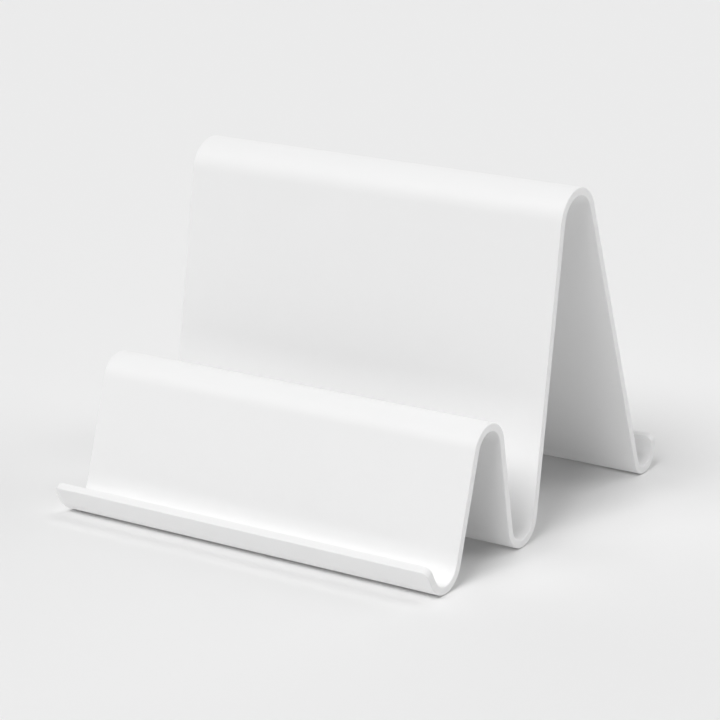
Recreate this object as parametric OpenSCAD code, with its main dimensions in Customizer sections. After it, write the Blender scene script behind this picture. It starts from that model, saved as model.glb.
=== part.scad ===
// Tablet stand: one sheet bent into a W of three feet and two humps, with a
// turned-up lip at the front and at the rear, on three thin anti-slip strips.
// The stand is +Z up and faces -Y. Its origin is the middle of its footprint.

/* [Sheet] */
// Width of the stand, from side to side
stand_w = 170; // [120:5:240]
// Thickness of the sheet, with its coating
sheet_t = 3.2; // [2:0.2:4]
// Radius of the rounded corners at the ends of both lips
corner_r = 3; // [1:0.5:5]

/* [Humps] */
// Height of the low hump's crest above the front foot's underside
low_h = 56.4; // [50:0.2:70]
// Height of the tall hump's crest above the front foot's underside
tall_h = 131.8; // [115:0.2:150]
// Outer radius of the low hump's bend
low_bend_r = 11; // [8:0.5:12]
// Outer radius of the tall hump's bend
tall_bend_r = 13.5; // [10:0.5:16]

/* [Feet] */
// Outer radius of the front and middle feet's bends
foot_bend_r = 11; // [8:0.5:12]
// Outer radius of the rear foot's bend
rear_bend_r = 9; // [7:0.5:12]
// Distance from the front foot's lowest line to the low hump's crest
low_y = 30.3; // [27:0.1:34]
// Distance from the front foot's lowest line to the middle foot's
middle_y = 56.4; // [53:0.1:62]
// Distance from the front foot's lowest line to the tall hump's crest
tall_y = 94.8; // [88:0.1:100]
// Distance from the front foot's lowest line to the rear foot's
rear_y = 157; // [145:0.5:170]

/* [Lips] */
// Outward lean of the front lip from the vertical, in degrees
front_lip_lean = 31; // [10:1:45]
// Length of the front lip's flat, past its bend
front_lip_l = 8; // [4:0.5:20]
// Inward lean of the rear lip from the vertical, in degrees
rear_lip_lean = 12; // [0:1:15]
// Length of the rear lip's flat, past its bend
rear_lip_l = 4; // [3:0.5:12]

/* [Anti-slip strips] */
// Width of each strip's flat underside
strip_w = 3; // [2:0.5:7]
// Thickness of each strip under the foot's lowest line
strip_t = 0.2; // [0.2:0.1:1.5]
// Distance that each strip stops short of the sheet's side edges
strip_inset = 1; // [0:0.5:10]

/* [Hidden] */
$fn = 96;

// The bends, from front to rear.
FRONT_FOOT = 0;
LOW_HUMP = 1;
MIDDLE_FOOT = 2;
TALL_HUMP = 3;
REAR_FOOT = 4;
BENDS = [FRONT_FOOT : REAR_FOOT];

// A flat's line passes this far inside the curves that it runs between, so
// that it cuts them cleanly.
tuck = 0.0005;
// Each bend's curve is drawn this much further than its turn, in degrees.
spare_turn = 6;
// Past the ends of everything.
beyond = 30;

// Outer radius of each bend, and its sense: 1 where the sheet turns upwards.
bend_r = [foot_bend_r, low_bend_r, foot_bend_r, tall_bend_r, rear_bend_r];
bend_turn = [1, -1, 1, -1, 1];

// The side view has the middle of the footprint at 0 and the table at 0.
front_reach = foot_bend_r * cos(front_lip_lean) + front_lip_l * sin(front_lip_lean);
front_y = (front_reach - rear_y - rear_bend_r) / 2;
bend_centre = [
    [front_y, strip_t + foot_bend_r],
    [front_y + low_y, strip_t + low_h - low_bend_r],
    [front_y + middle_y, strip_t + foot_bend_r],
    [front_y + tall_y, strip_t + tall_h - tall_bend_r],
    [front_y + rear_y, strip_t + rear_bend_r]
];

function along(heading) = [cos(heading), sin(heading)];
function leftward(heading) = [-sin(heading), cos(heading)];

// Heading of the sheet on the flat that joins bend i to bend i + 1, which is
// the common tangent of the two bends' middle lines.
function middle_r(i) = bend_turn[i] * (bend_r[i] - sheet_t / 2);
function flat_heading(i) =
    let (gap = bend_centre[i + 1] - bend_centre[i])
    atan2(gap[1], gap[0]) - asin((middle_r(i + 1) - middle_r(i)) / norm(gap));

// Heading where the sheet enters and leaves bend i, with the lips at the ends.
function heading_in(i) = i == FRONT_FOOT ? front_lip_lean - 90 : flat_heading(i - 1);
function heading_out(i) = i == REAR_FOOT ? 90 + rear_lip_lean : flat_heading(i);

// The sheet has an upper face (1) and a lower face (-1). The radius of a face
// on bend i, and a point there, at a depth inside the curve.
function face_r(i, face) = bend_turn[i] == face ? bend_r[i] - sheet_t : bend_r[i];
function on_face(i, face, heading, depth = 0) =
    bend_centre[i] - bend_turn[i] * (face_r(i, face) - depth) * leftward(heading);

// A point on a face of a lip, at a distance past the lip's bend.
function on_front_lip(face, distance) =
    on_face(FRONT_FOOT, face, heading_in(FRONT_FOOT), tuck) - distance * along(heading_in(FRONT_FOOT));
function on_rear_lip(face, distance) =
    on_face(REAR_FOOT, face, heading_out(REAR_FOOT), tuck) + distance * along(heading_out(REAR_FOOT));

// The slice of bend i's disc that a face turns through.
module bend_slice(i, face) {
    sense = bend_turn[i];
    start = heading_in(i) - sense * (90 + spare_turn);
    sweep = heading_out(i) - heading_in(i) + 2 * sense * spare_turn;
    reach = 2 * bend_r[i];
    translate(bend_centre[i])
        intersection() {
            circle(r = face_r(i, face));
            polygon(concat([[0, 0]], [for (part = [0 : 4]) reach * along(start + sweep * part / 4)]));
        }
}

// All that lies above a face of the sheet, in the side view. Its outline runs
// along the face, from so far past one lip's end to as far past the other's,
// then steps across towards the inside of the stand and goes up to the top.
module above_face(face, past, step, top) {
    bend_ends = [for (i = BENDS) for (heading = [heading_in(i), heading_out(i)]) [i, heading]];
    faces = [for (bend_end = bend_ends) on_face(bend_end[0], face, bend_end[1], tuck)];
    front_end = on_front_lip(face, front_lip_l + past);
    rear_end = on_rear_lip(face, rear_lip_l + past);
    front_side = front_end + step * leftward(heading_in(FRONT_FOOT));
    rear_side = rear_end + step * leftward(heading_out(REAR_FOOT));
    difference() {
        union() {
            polygon(concat(
                [[front_side[0], top], front_side, front_end],
                faces,
                [rear_end, rear_side, [rear_side[0], top]]
            ));
            for (i = [FRONT_FOOT, MIDDLE_FOOT, REAR_FOOT])
                bend_slice(i, face);
        }
        for (i = [LOW_HUMP, TALL_HUMP])
            bend_slice(i, face);
    }
}

module sheet_outline() {
    difference() {
        above_face(-1, 0, 2 * sheet_t, tall_h + beyond);
        above_face(1, sheet_t, -beyond, tall_h + 2 * beyond);
    }
}

// A side view, extruded across the stand.
module across(width) {
    translate([-width / 2, 0, 0])
        rotate([90, 0, 90])
            linear_extrude(height = width)
                children();
}

// What is cut away to round both corners of a lip, where tip is a point of the
// lip's end and rise is the angle from the level of the way towards that end.
module lip_corner_cuts(tip, rise) {
    for (side = [-1, 1])
        translate([side * stand_w / 2, tip[0], tip[1]])
            rotate([rise - 90, 0, 0])
                difference() {
                    translate([side > 0 ? -corner_r : -1, -2 * sheet_t, -corner_r])
                        cube([corner_r + 1, 4 * sheet_t, corner_r + 1]);
                    translate([-side * corner_r, 0, -corner_r])
                        rotate([90, 0, 0])
                            cylinder(r = corner_r + tuck, h = 5 * sheet_t, center = true);
                }
}

module bent_sheet() {
    color("white")
        difference() {
            across(stand_w)
                sheet_outline();
            lip_corner_cuts(on_front_lip(1, front_lip_l), heading_in(FRONT_FOOT) + 180);
            lip_corner_cuts(on_rear_lip(1, rear_lip_l), heading_out(REAR_FOOT));
        }
}

// A strip that fills the wedge between the bend of a foot and the table.
module foot_strip(i) {
    half = strip_w / 2;
    edge_rise = bend_r[i] - sqrt(bend_r[i] * bend_r[i] - half * half);
    color("gray")
        across(stand_w - 2 * strip_inset)
            difference() {
                translate([bend_centre[i][0] - half, 0])
                    square([strip_w, strip_t + edge_rise]);
                translate(bend_centre[i])
                    circle(r = bend_r[i]);
            }
}

module front_foot_strip() {
    foot_strip(FRONT_FOOT);
}

module middle_foot_strip() {
    foot_strip(MIDDLE_FOOT);
}

module rear_foot_strip() {
    foot_strip(REAR_FOOT);
}

bent_sheet();
front_foot_strip();
middle_foot_strip();
rear_foot_strip();
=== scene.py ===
"""A tablet stand, bent from one coated metal sheet, on three anti-slip strips.

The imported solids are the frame. The sheet is modelled anew with eased edges,
and stands for its solid. The strips keep their solids and get their finish.
"""

import math

import bmesh
import bpy
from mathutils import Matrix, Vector


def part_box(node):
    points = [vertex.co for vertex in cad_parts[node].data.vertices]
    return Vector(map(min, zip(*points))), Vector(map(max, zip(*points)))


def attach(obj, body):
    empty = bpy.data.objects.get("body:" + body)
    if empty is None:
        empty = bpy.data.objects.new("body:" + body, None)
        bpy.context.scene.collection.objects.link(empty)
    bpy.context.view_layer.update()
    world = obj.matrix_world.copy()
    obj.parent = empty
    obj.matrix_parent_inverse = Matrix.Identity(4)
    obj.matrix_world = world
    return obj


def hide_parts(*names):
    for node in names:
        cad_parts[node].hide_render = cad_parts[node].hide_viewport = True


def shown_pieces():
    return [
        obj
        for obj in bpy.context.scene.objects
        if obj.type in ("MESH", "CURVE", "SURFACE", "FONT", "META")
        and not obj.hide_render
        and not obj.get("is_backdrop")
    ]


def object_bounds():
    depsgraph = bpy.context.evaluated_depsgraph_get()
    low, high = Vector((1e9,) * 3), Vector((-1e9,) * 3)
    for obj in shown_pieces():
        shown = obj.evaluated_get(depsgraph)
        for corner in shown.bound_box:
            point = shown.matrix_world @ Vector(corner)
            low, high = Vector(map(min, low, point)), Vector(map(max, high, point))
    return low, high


bl_info = {
    "name": "Tablet stand",
    "version": (1, 0, 0),
    "blender": (4, 5, 0),
    "location": "View3D > Sidebar > Tablet stand",
    "description": "Builds a bent sheet stand for a tablet and a phone",
    "category": "Add Mesh",
}

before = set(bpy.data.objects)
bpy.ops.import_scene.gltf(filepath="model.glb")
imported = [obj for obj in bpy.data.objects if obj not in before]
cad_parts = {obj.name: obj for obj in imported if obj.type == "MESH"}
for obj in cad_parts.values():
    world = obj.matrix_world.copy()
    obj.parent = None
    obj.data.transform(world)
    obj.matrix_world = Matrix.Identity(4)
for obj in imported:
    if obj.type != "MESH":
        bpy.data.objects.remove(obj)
CAD_LOW, CAD_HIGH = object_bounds()
SHEET_LOW, SHEET_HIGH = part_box("bent_sheet")
STRIPS = ("front_foot_strip", "middle_foot_strip", "rear_foot_strip")

MM = 0.001
TOUCH = 0.1 * MM  # points this near a line of the sheet are on it
MERGE = 0.01 * MM  # points this near each other become one

FRONT_FOOT, LOW_HUMP, MIDDLE_FOOT, TALL_HUMP, REAR_FOOT = range(5)
BEND_TURNS = (1, -1, 1, -1, 1)  # 1 where the sheet turns upwards


# ---------------------------------------------------------------- settings


def length(name, description, default):
    return bpy.props.FloatProperty(
        name=name, description=description, default=default, min=0.0, precision=5, unit="LENGTH"
    )


def angle(name, description, default):
    return bpy.props.FloatProperty(
        name=name, description=description, default=math.radians(default), subtype="ANGLE"
    )


def share(name, description, default):
    return bpy.props.FloatProperty(
        name=name, description=description, default=default, min=0.0, max=1.0, subtype="FACTOR"
    )


def colour(name, description, default):
    return bpy.props.FloatVectorProperty(
        name=name, description=description, default=default, min=0.0, max=1.0, size=4, subtype="COLOR"
    )


class TabletStandSheet(bpy.types.PropertyGroup):
    """Sizes of the bent sheet, as in the part's source."""

    thickness: length("Thickness", "Thickness of the sheet with its coating", 3.2 * MM)
    corner_radius: length("Corner radius", "Radius of the corners at the ends of both lips", 3 * MM)
    edge_radius: length("Edge radius", "How far the coating rounds the cut edges", 0.4 * MM)
    low_height: length("Low hump", "Height of the low hump above the feet", 56.4 * MM)
    tall_height: length("Tall hump", "Height of the tall hump above the feet", 131.8 * MM)
    low_radius: length("Low hump radius", "Outer radius of the low hump's bend", 11 * MM)
    tall_radius: length("Tall hump radius", "Outer radius of the tall hump's bend", 13.5 * MM)
    foot_radius: length("Foot radius", "Outer radius of the front and middle feet's bends", 11 * MM)
    rear_radius: length("Rear foot radius", "Outer radius of the rear foot's bend", 9 * MM)
    low_place: length("Low hump place", "From the front foot's line to the low hump's crest", 30.3 * MM)
    middle_place: length("Middle foot place", "From the front foot's line to the middle foot's", 56.4 * MM)
    tall_place: length("Tall hump place", "From the front foot's line to the tall hump's crest", 94.8 * MM)
    rear_place: length("Rear foot place", "From the front foot's line to the rear foot's", 157 * MM)
    front_lean: angle("Front lip lean", "Outward lean of the front lip from the vertical", 31)
    front_lip: length("Front lip", "Length of the front lip's flat", 8 * MM)
    rear_lean: angle("Rear lip lean", "Inward lean of the rear lip from the vertical", 12)
    rear_lip: length("Rear lip", "Length of the rear lip's flat", 4 * MM)


class TabletStandFinish(bpy.types.PropertyGroup):
    """Colours and textures of the finishes."""

    coat: colour("Coat", "Colour of the powder coat", (0.9, 0.9, 0.9, 1))
    coat_thin: colour("Thin coat", "Colour of the powder coat where it is thinnest", (0.87, 0.87, 0.87, 1))
    coat_roughness: share("Coat roughness", "How matt the powder coat is", 0.5)
    peel_size: length("Peel size", "Width of the waves in the powder coat", 0.9 * MM)
    silicone: colour("Silicone", "Colour of the anti-slip strips", (0.6, 0.6, 0.6, 1))
    silicone_pale: colour("Pale silicone", "Colour of the strips' paler clouds", (0.68, 0.68, 0.68, 1))


class TabletStandStage(bpy.types.PropertyGroup):
    """Camera and floor."""

    azimuth: angle("Azimuth", "Turn of the camera round the stand, from its front to its right", 32.78)
    elevation: angle("Elevation", "Height of the camera above the level", 16.97)
    distance: length("Distance", "Distance of the camera from what it looks at", 1.0608)
    aim: bpy.props.FloatVectorProperty(
        name="Aim",
        description="Point that the camera looks at",
        default=(0, -1.5 * MM, 55.5 * MM),
        subtype="XYZ",
    )
    focal: bpy.props.FloatProperty(
        name="Focal length", description="Focal length of the camera", default=134.6, unit="CAMERA"
    )
    floor_size: length("Floor size", "Side of the floor", 12)
    floor: colour("Floor", "Colour of the floor", (0.82, 0.82, 0.82, 1))
    surround: bpy.props.FloatProperty(
        name="Surround", description="Light that comes from the room all round", default=0.02, min=0.0
    )
    backdrop: bpy.props.FloatProperty(
        name="Backdrop", description="Brightness that the room is seen with", default=1.0, min=0.0
    )


SETTINGS = {
    "tablet_stand_sheet": TabletStandSheet,
    "tablet_stand_finish": TabletStandFinish,
    "tablet_stand_stage": TabletStandStage,
}


# --------------------------------------------------------------- materials


class Value:
    """A number given by a socket, for use in expressions."""

    def __init__(self, nodes, socket):
        self.nodes = nodes
        self.socket = socket

    def maths(self, operation, first, second):
        node = self.nodes.add("ShaderNodeMath", {"operation": operation}, {0: first, 1: second})
        return Value(self.nodes, node.outputs[0])

    def __add__(self, other):
        return self.maths("ADD", self, other)

    __radd__ = __add__

    def __mul__(self, other):
        return self.maths("MULTIPLY", self, other)

    __rmul__ = __mul__

    def __pow__(self, other):
        return self.maths("POWER", self, other)


class Nodes:
    """The nodes of a material or of the room."""

    def __init__(self, owner):
        owner.use_nodes = True
        self.tree = owner.node_tree
        self.tree.nodes.clear()

    def add(self, kind, settings=None, inputs=None):
        """Adds a node, with its settings first, then the values or links of its sockets."""
        node = self.tree.nodes.new(kind)
        for name, value in (settings or {}).items():
            setattr(node, name, value)
        self.feed(node, inputs or {})
        return node

    def feed(self, node, inputs):
        for key, value in inputs.items():
            if isinstance(value, Value):
                value = value.socket
            if isinstance(value, bpy.types.NodeSocket):
                self.tree.links.new(value, node.inputs[key])
            else:
                node.inputs[key].default_value = value


class Finish(Nodes):
    """A material on a principled surface, textured in the object's own coordinates."""

    def __init__(self, name):
        self.material = bpy.data.materials.new(name)
        super().__init__(self.material)
        self.surface = self.add("ShaderNodeBsdfPrincipled")
        self.add("ShaderNodeOutputMaterial", inputs={"Surface": self.surface.outputs[0]})
        self.place = self.add("ShaderNodeTexCoord").outputs["Object"]

    def noise(self, size, detail=2.0, roughness=0.5, stretch=(1, 1, 1)):
        """Soft noise from 0 to 1 with features of a size in metres, stretched along the axes."""
        spread = [1 / (size * part) for part in stretch]
        place = self.add(
            "ShaderNodeMapping", {"vector_type": "POINT"}, {"Vector": self.place, "Scale": spread}
        )
        node = self.add(
            "ShaderNodeTexNoise",
            {"noise_dimensions": "3D"},
            {"Vector": place.outputs[0], "Scale": 1.0, "Detail": detail, "Roughness": roughness},
        )
        return Value(self, node.outputs["Fac"])

    def mix(self, factor, first, second):
        node = self.add("ShaderNodeMix", {"data_type": "RGBA"}, {"Factor": factor, 6: first, 7: second})
        return node.outputs[2]

    def bump(self, height, strength, distance):
        sizes = {"Height": height, "Strength": strength, "Distance": distance}
        node = self.add("ShaderNodeBump", inputs=sizes)
        return node.outputs[0]


def powder_coat(settings):
    """White satin powder coat: a faint cloudiness, a fine grain and soft shallow waves."""
    coat = Finish("white powder coat")
    clouds = coat.noise(28 * MM, detail=3)
    grain = coat.noise(0.22 * MM, detail=1)
    peel = coat.noise(settings.peel_size, detail=2, roughness=0.45)
    thinness = 0.45 * clouds + 0.3 * grain + 0.25 * peel
    coat.feed(
        coat.surface,
        {
            "Base Color": coat.mix(thinness, tuple(settings.coat), tuple(settings.coat_thin)),
            "Roughness": settings.coat_roughness - 0.07 + 0.1 * grain + 0.04 * clouds,
            "Specular IOR Level": 0.4,
            "Normal": coat.bump(0.75 * peel + 0.25 * grain, 0.35, 0.02 * MM),
        },
    )
    return coat.material


def silicone(settings):
    """Soft grey silicone with faint clouds and a dull, slightly dusty skin."""
    rubber = Finish("grey silicone")
    clouds = rubber.noise(6 * MM, detail=3)
    dust = rubber.noise(0.3 * MM, detail=2) ** 3.0
    ribs = rubber.noise(0.5 * MM, detail=1, stretch=(20, 1, 1))
    colour_change = rubber.mix(0.7 * clouds + dust, tuple(settings.silicone), tuple(settings.silicone_pale))
    rubber.feed(
        rubber.surface,
        {
            "Base Color": colour_change,
            "Roughness": 0.55 + 0.2 * clouds,
            "Specular IOR Level": 0.35,
            "Normal": rubber.bump(0.6 * ribs + 0.4 * clouds, 0.4, 0.05 * MM),
        },
    )
    return rubber.material


def plain_floor(settings):
    """Pale, plain and quite matt floor."""
    floor = Finish("pale floor")
    floor.feed(
        floor.surface,
        {"Base Color": tuple(settings.floor), "Roughness": 0.95, "Specular IOR Level": 0.0},
    )
    return floor.material


# ----------------------------------------------------------- sheet's course


def along(heading):
    """Unit vector in the side view, for a heading in radians from +Y towards +Z."""
    return Vector((0, math.cos(heading), math.sin(heading)))


def leftward(heading):
    return Vector((0, -math.sin(heading), math.cos(heading)))


class Course:
    """The sheet's middle line in the side view, from the front lip to the rear one."""

    def __init__(self, sheet):
        self.radii = [
            sheet.foot_radius,
            sheet.low_radius,
            sheet.foot_radius,
            sheet.tall_radius,
            sheet.rear_radius,
        ]
        bend_reach = sheet.foot_radius * math.cos(sheet.front_lean)
        lip_reach = sheet.front_lip * math.sin(sheet.front_lean)
        front = SHEET_LOW.y + bend_reach + lip_reach
        base = SHEET_LOW.z
        self.centres = [
            Vector((0, front, base + sheet.foot_radius)),
            Vector((0, front + sheet.low_place, base + sheet.low_height - sheet.low_radius)),
            Vector((0, front + sheet.middle_place, base + sheet.foot_radius)),
            Vector((0, front + sheet.tall_place, base + sheet.tall_height - sheet.tall_radius)),
            Vector((0, front + sheet.rear_place, base + sheet.rear_radius)),
        ]
        self.half = sheet.thickness / 2
        flats = [self.flat_heading(i) for i in range(REAR_FOOT)]
        self.headings_in = [sheet.front_lean - math.pi / 2] + flats
        self.headings_out = flats + [math.pi / 2 + sheet.rear_lean]

    def middle_radius(self, bend):
        """Radius of the middle line on a bend, negative where the sheet turns downwards."""
        return BEND_TURNS[bend] * (self.radii[bend] - self.half)

    def flat_heading(self, bend):
        """Heading on the flat that joins a bend to the next one."""
        gap = self.centres[bend + 1] - self.centres[bend]
        change = self.middle_radius(bend + 1) - self.middle_radius(bend)
        return math.atan2(gap.z, gap.y) - math.asin(change / gap.length)

    def point(self, bend, heading):
        return self.centres[bend] - self.middle_radius(bend) * leftward(heading)


# ---------------------------------------------------------- modelling tools


def start_primitive(add, **settings):
    """Adds a primitive with nothing else selected, and returns it."""
    if bpy.context.object and bpy.context.object.mode != "OBJECT":
        bpy.ops.object.mode_set(mode="OBJECT")
    bpy.ops.object.select_all(action="DESELECT")
    add(**settings)
    return bpy.context.object


def select_where(piece, kind, test):
    """In edit mode, selects only the vertices or edges whose points all pass a test."""
    bpy.ops.mesh.select_mode(type=kind)
    bpy.ops.mesh.select_all(action="DESELECT")
    mesh = bmesh.from_edit_mesh(piece.data)
    parts = mesh.verts if kind == "VERT" else mesh.edges
    for part in parts:
        corners = [part] if kind == "VERT" else part.verts
        if all(test(corner.co) for corner in corners):
            part.select_set(True)
    mesh.select_flush_mode()
    bmesh.update_edit_mesh(piece.data)


def apply_modifier(piece, kind, **settings):
    modifier = piece.modifiers.new(kind.title(), kind)
    for name, value in settings.items():
        setattr(modifier, name, value)
    bpy.ops.object.modifier_apply(modifier=modifier.name)


def set_finish(piece, material):
    piece.data.materials.clear()
    piece.data.materials.append(material)


def direction(azimuth, elevation):
    """Unit vector from the stand, turned from its front to its right and raised from the level."""
    level = math.cos(elevation)
    return Vector((math.sin(azimuth) * level, -math.cos(azimuth) * level, math.sin(elevation)))


# --------------------------------------------------------------- operators


class TABLETSTAND_OT_sheet(bpy.types.Operator):
    """Bends the sheet from lip to lip, then thickens it and eases its edges"""

    bl_idname = "tablet_stand.sheet"
    bl_label = "Bent sheet"
    bl_options = {"REGISTER", "UNDO"}

    BEND_STEP = math.radians(2.5)
    CORNER_STEPS = 10
    EDGE_STEPS = 3
    SHARPEST_SMOOTH = math.radians(50)  # edges that turn more than this are cut edges

    def execute(self, context):
        sheet = context.scene.tablet_stand_sheet
        course = Course(sheet)
        width = SHEET_HIGH.x - SHEET_LOW.x
        piece = self.lay_front_lip(course, sheet, width)
        self.bend_onwards(piece, course, sheet)
        self.round_corners(piece, course, sheet, width)
        self.thicken(piece, sheet)
        set_finish(piece, powder_coat(context.scene.tablet_stand_finish))
        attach(piece, "root")
        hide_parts("bent_sheet")
        return {"FINISHED"}

    def lay_front_lip(self, course, sheet, width):
        heading = course.headings_in[FRONT_FOOT]
        foot_end = course.point(FRONT_FOOT, heading)
        piece = start_primitive(
            bpy.ops.mesh.primitive_plane_add,
            size=1,
            location=foot_end - along(heading) * sheet.front_lip / 2,
            rotation=(heading, 0, 0),
        )
        piece.name = piece.data.name = "sheet"
        piece.scale = (width, sheet.front_lip, 1)
        bpy.ops.object.transform_apply(location=True, rotation=True, scale=True)
        return piece

    def bend_onwards(self, piece, course, sheet):
        """Carries the lip's inner edge round each bend and along each flat."""
        bpy.ops.object.mode_set(mode="EDIT")
        foot_end = course.point(FRONT_FOOT, course.headings_in[FRONT_FOOT])
        select_where(piece, "EDGE", lambda co: (co.yz - foot_end.yz).length < TOUCH)
        for bend in range(REAR_FOOT + 1):
            turn = course.headings_out[bend] - course.headings_in[bend]
            bpy.ops.mesh.spin(
                steps=math.ceil(abs(turn) / self.BEND_STEP),
                angle=-turn,
                center=course.centres[bend],
                axis=(1, 0, 0),
            )
            here = course.point(bend, course.headings_out[bend])
            if bend == REAR_FOOT:
                there = here + along(course.headings_out[bend]) * sheet.rear_lip
            else:
                there = course.point(bend + 1, course.headings_in[bend + 1])
            bpy.ops.mesh.extrude_region_move(TRANSFORM_OT_translate={"value": there - here})
        bpy.ops.mesh.select_all(action="SELECT")
        bpy.ops.mesh.remove_doubles(threshold=MERGE)

    def round_corners(self, piece, course, sheet, width):
        front = course.point(FRONT_FOOT, course.headings_in[FRONT_FOOT])
        rear = course.point(REAR_FOOT, course.headings_out[REAR_FOOT])
        tips = [
            front - along(course.headings_in[FRONT_FOOT]) * sheet.front_lip,
            rear + along(course.headings_out[REAR_FOOT]) * sheet.rear_lip,
        ]
        select_where(piece, "VERT", lambda co: any((co.yz - tip.yz).length < TOUCH for tip in tips))
        bpy.ops.mesh.bevel(
            offset_type="OFFSET",
            offset=sheet.corner_radius,
            segments=self.CORNER_STEPS,
            profile=0.5,
            affect="VERTICES",
        )
        bpy.ops.object.mode_set(mode="OBJECT")

    def thicken(self, piece, sheet):
        apply_modifier(piece, "SOLIDIFY", thickness=sheet.thickness, offset=0.0, use_even_offset=True)
        apply_modifier(
            piece,
            "BEVEL",
            width=sheet.edge_radius,
            segments=self.EDGE_STEPS,
            limit_method="ANGLE",
            angle_limit=self.SHARPEST_SMOOTH,
        )
        bpy.ops.object.mode_set(mode="EDIT")
        bpy.ops.mesh.select_all(action="SELECT")
        bpy.ops.mesh.normals_make_consistent(inside=False)
        bpy.ops.object.mode_set(mode="OBJECT")
        bpy.ops.object.shade_smooth_by_angle(angle=self.SHARPEST_SMOOTH)
        apply_modifier(piece, "WEIGHTED_NORMAL", mode="FACE_AREA", weight=50, keep_sharp=True)


class TABLETSTAND_OT_strips(bpy.types.Operator):
    """Gives the anti-slip strips under the feet their silicone"""

    bl_idname = "tablet_stand.strips"
    bl_label = "Anti-slip strips"
    bl_options = {"REGISTER", "UNDO"}

    def execute(self, context):
        material = silicone(context.scene.tablet_stand_finish)
        for name in STRIPS:
            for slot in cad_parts[name].material_slots:
                slot.material = material
        return {"FINISHED"}


class TABLETSTAND_OT_stage(bpy.types.Operator):
    """Lays the floor and sets the lights and the camera"""

    bl_idname = "tablet_stand.stage"
    bl_label = "Stage"
    bl_options = {"REGISTER", "UNDO"}

    # Each light's azimuth, elevation and spread in degrees, and its strength.
    # A bounce comes up from the pale surroundings, and reaches only the stand.
    LIGHTS = (
        ("front softbox", 0, 50, 30, 2.36),
        ("front left softbox", -30, 50, 30, 0.54),
        ("rear left softbox", -150, 75, 30, 0.45),
        ("right softbox", 120, 70, 30, 0.56),
        ("rear right wall", 135, 10, 60, 1.75),
        ("rear left wall", -135, 10, 60, 0.84),
    )
    BOUNCES = (("left bounce", -90, -30, 50, 0.81),)

    NEAREST, FARTHEST = 0.01, 50  # what the camera takes in, in metres

    def execute(self, context):
        stage = context.scene.tablet_stand_stage
        self.lay_floor(stage)
        self.fill_room(context, stage)
        for light in self.LIGHTS:
            self.hang_light(context, *light)
        stand = bpy.data.collections.new("stand")
        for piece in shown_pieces():
            stand.objects.link(piece)
        for bounce in self.BOUNCES:
            linking = self.hang_light(context, *bounce).light_linking
            linking.receiver_collection = linking.blocker_collection = stand
        self.set_camera(context, stage)
        context.scene.view_settings.view_transform = "Standard"
        context.scene.view_settings.look = "Medium Low Contrast"
        return {"FINISHED"}

    def lay_floor(self, stage):
        floor = start_primitive(
            bpy.ops.mesh.primitive_plane_add, size=stage.floor_size, location=(0, 0, CAD_LOW.z)
        )
        floor.name = "floor"
        set_finish(floor, plain_floor(stage))
        floor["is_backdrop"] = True

    def fill_room(self, context, stage):
        """Makes the room: pale where the camera sees it, though hardly any light comes from it."""
        context.scene.world = bpy.data.worlds.new("room")
        room = Nodes(context.scene.world)
        seen = Value(room, room.add("ShaderNodeLightPath").outputs["Is Camera Ray"])
        strength = stage.surround + (stage.backdrop - stage.surround) * seen
        background = room.add("ShaderNodeBackground", inputs={"Color": (1, 1, 1, 1), "Strength": strength})
        room.add("ShaderNodeOutputWorld", inputs={"Surface": background.outputs[0]})

    def hang_light(self, context, name, azimuth, elevation, spread, strength):
        towards = direction(math.radians(azimuth), math.radians(elevation))
        data = bpy.data.lights.new(name, "SUN")
        data.angle = math.radians(spread)
        data.energy = strength
        light = bpy.data.objects.new(name, data)
        context.collection.objects.link(light)
        light.location = towards
        light.rotation_euler = towards.to_track_quat("Z", "Y").to_euler()
        return light

    def set_camera(self, context, stage):
        back = direction(stage.azimuth, stage.elevation)
        data = bpy.data.cameras.new("camera")
        data.lens = stage.focal
        data.clip_start, data.clip_end = self.NEAREST, self.FARTHEST
        camera = bpy.data.objects.new("camera", data)
        context.collection.objects.link(camera)
        camera.location = Vector(stage.aim) + back * stage.distance
        camera.rotation_euler = back.to_track_quat("Z", "Y").to_euler()
        context.scene.camera = camera


OPERATORS = (TABLETSTAND_OT_sheet, TABLETSTAND_OT_strips, TABLETSTAND_OT_stage)


class TABLETSTAND_PT_panel(bpy.types.Panel):
    """Lists the stand's pieces and its stage"""

    bl_idname = "TABLETSTAND_PT_panel"
    bl_label = "Tablet stand"
    bl_space_type = "VIEW_3D"
    bl_region_type = "UI"
    bl_category = "Tablet stand"

    def draw(self, context):
        for operator in OPERATORS:
            self.layout.operator(operator.bl_idname)
        for group in SETTINGS:
            settings = getattr(context.scene, group)
            column = self.layout.column()
            for name in settings.bl_rna.properties.keys():
                if name not in ("rna_type", "name"):
                    column.prop(settings, name)


def register():
    for kind in (*SETTINGS.values(), *OPERATORS, TABLETSTAND_PT_panel):
        bpy.utils.register_class(kind)
    for name, kind in SETTINGS.items():
        setattr(bpy.types.Scene, name, bpy.props.PointerProperty(type=kind))


def unregister():
    for name in SETTINGS:
        delattr(bpy.types.Scene, name)
    for kind in reversed((*SETTINGS.values(), *OPERATORS, TABLETSTAND_PT_panel)):
        bpy.utils.unregister_class(kind)


def main():
    register()
    bpy.ops.tablet_stand.sheet()
    bpy.ops.tablet_stand.strips()
    bpy.ops.tablet_stand.stage()


if __name__ == "__main__":
    main()
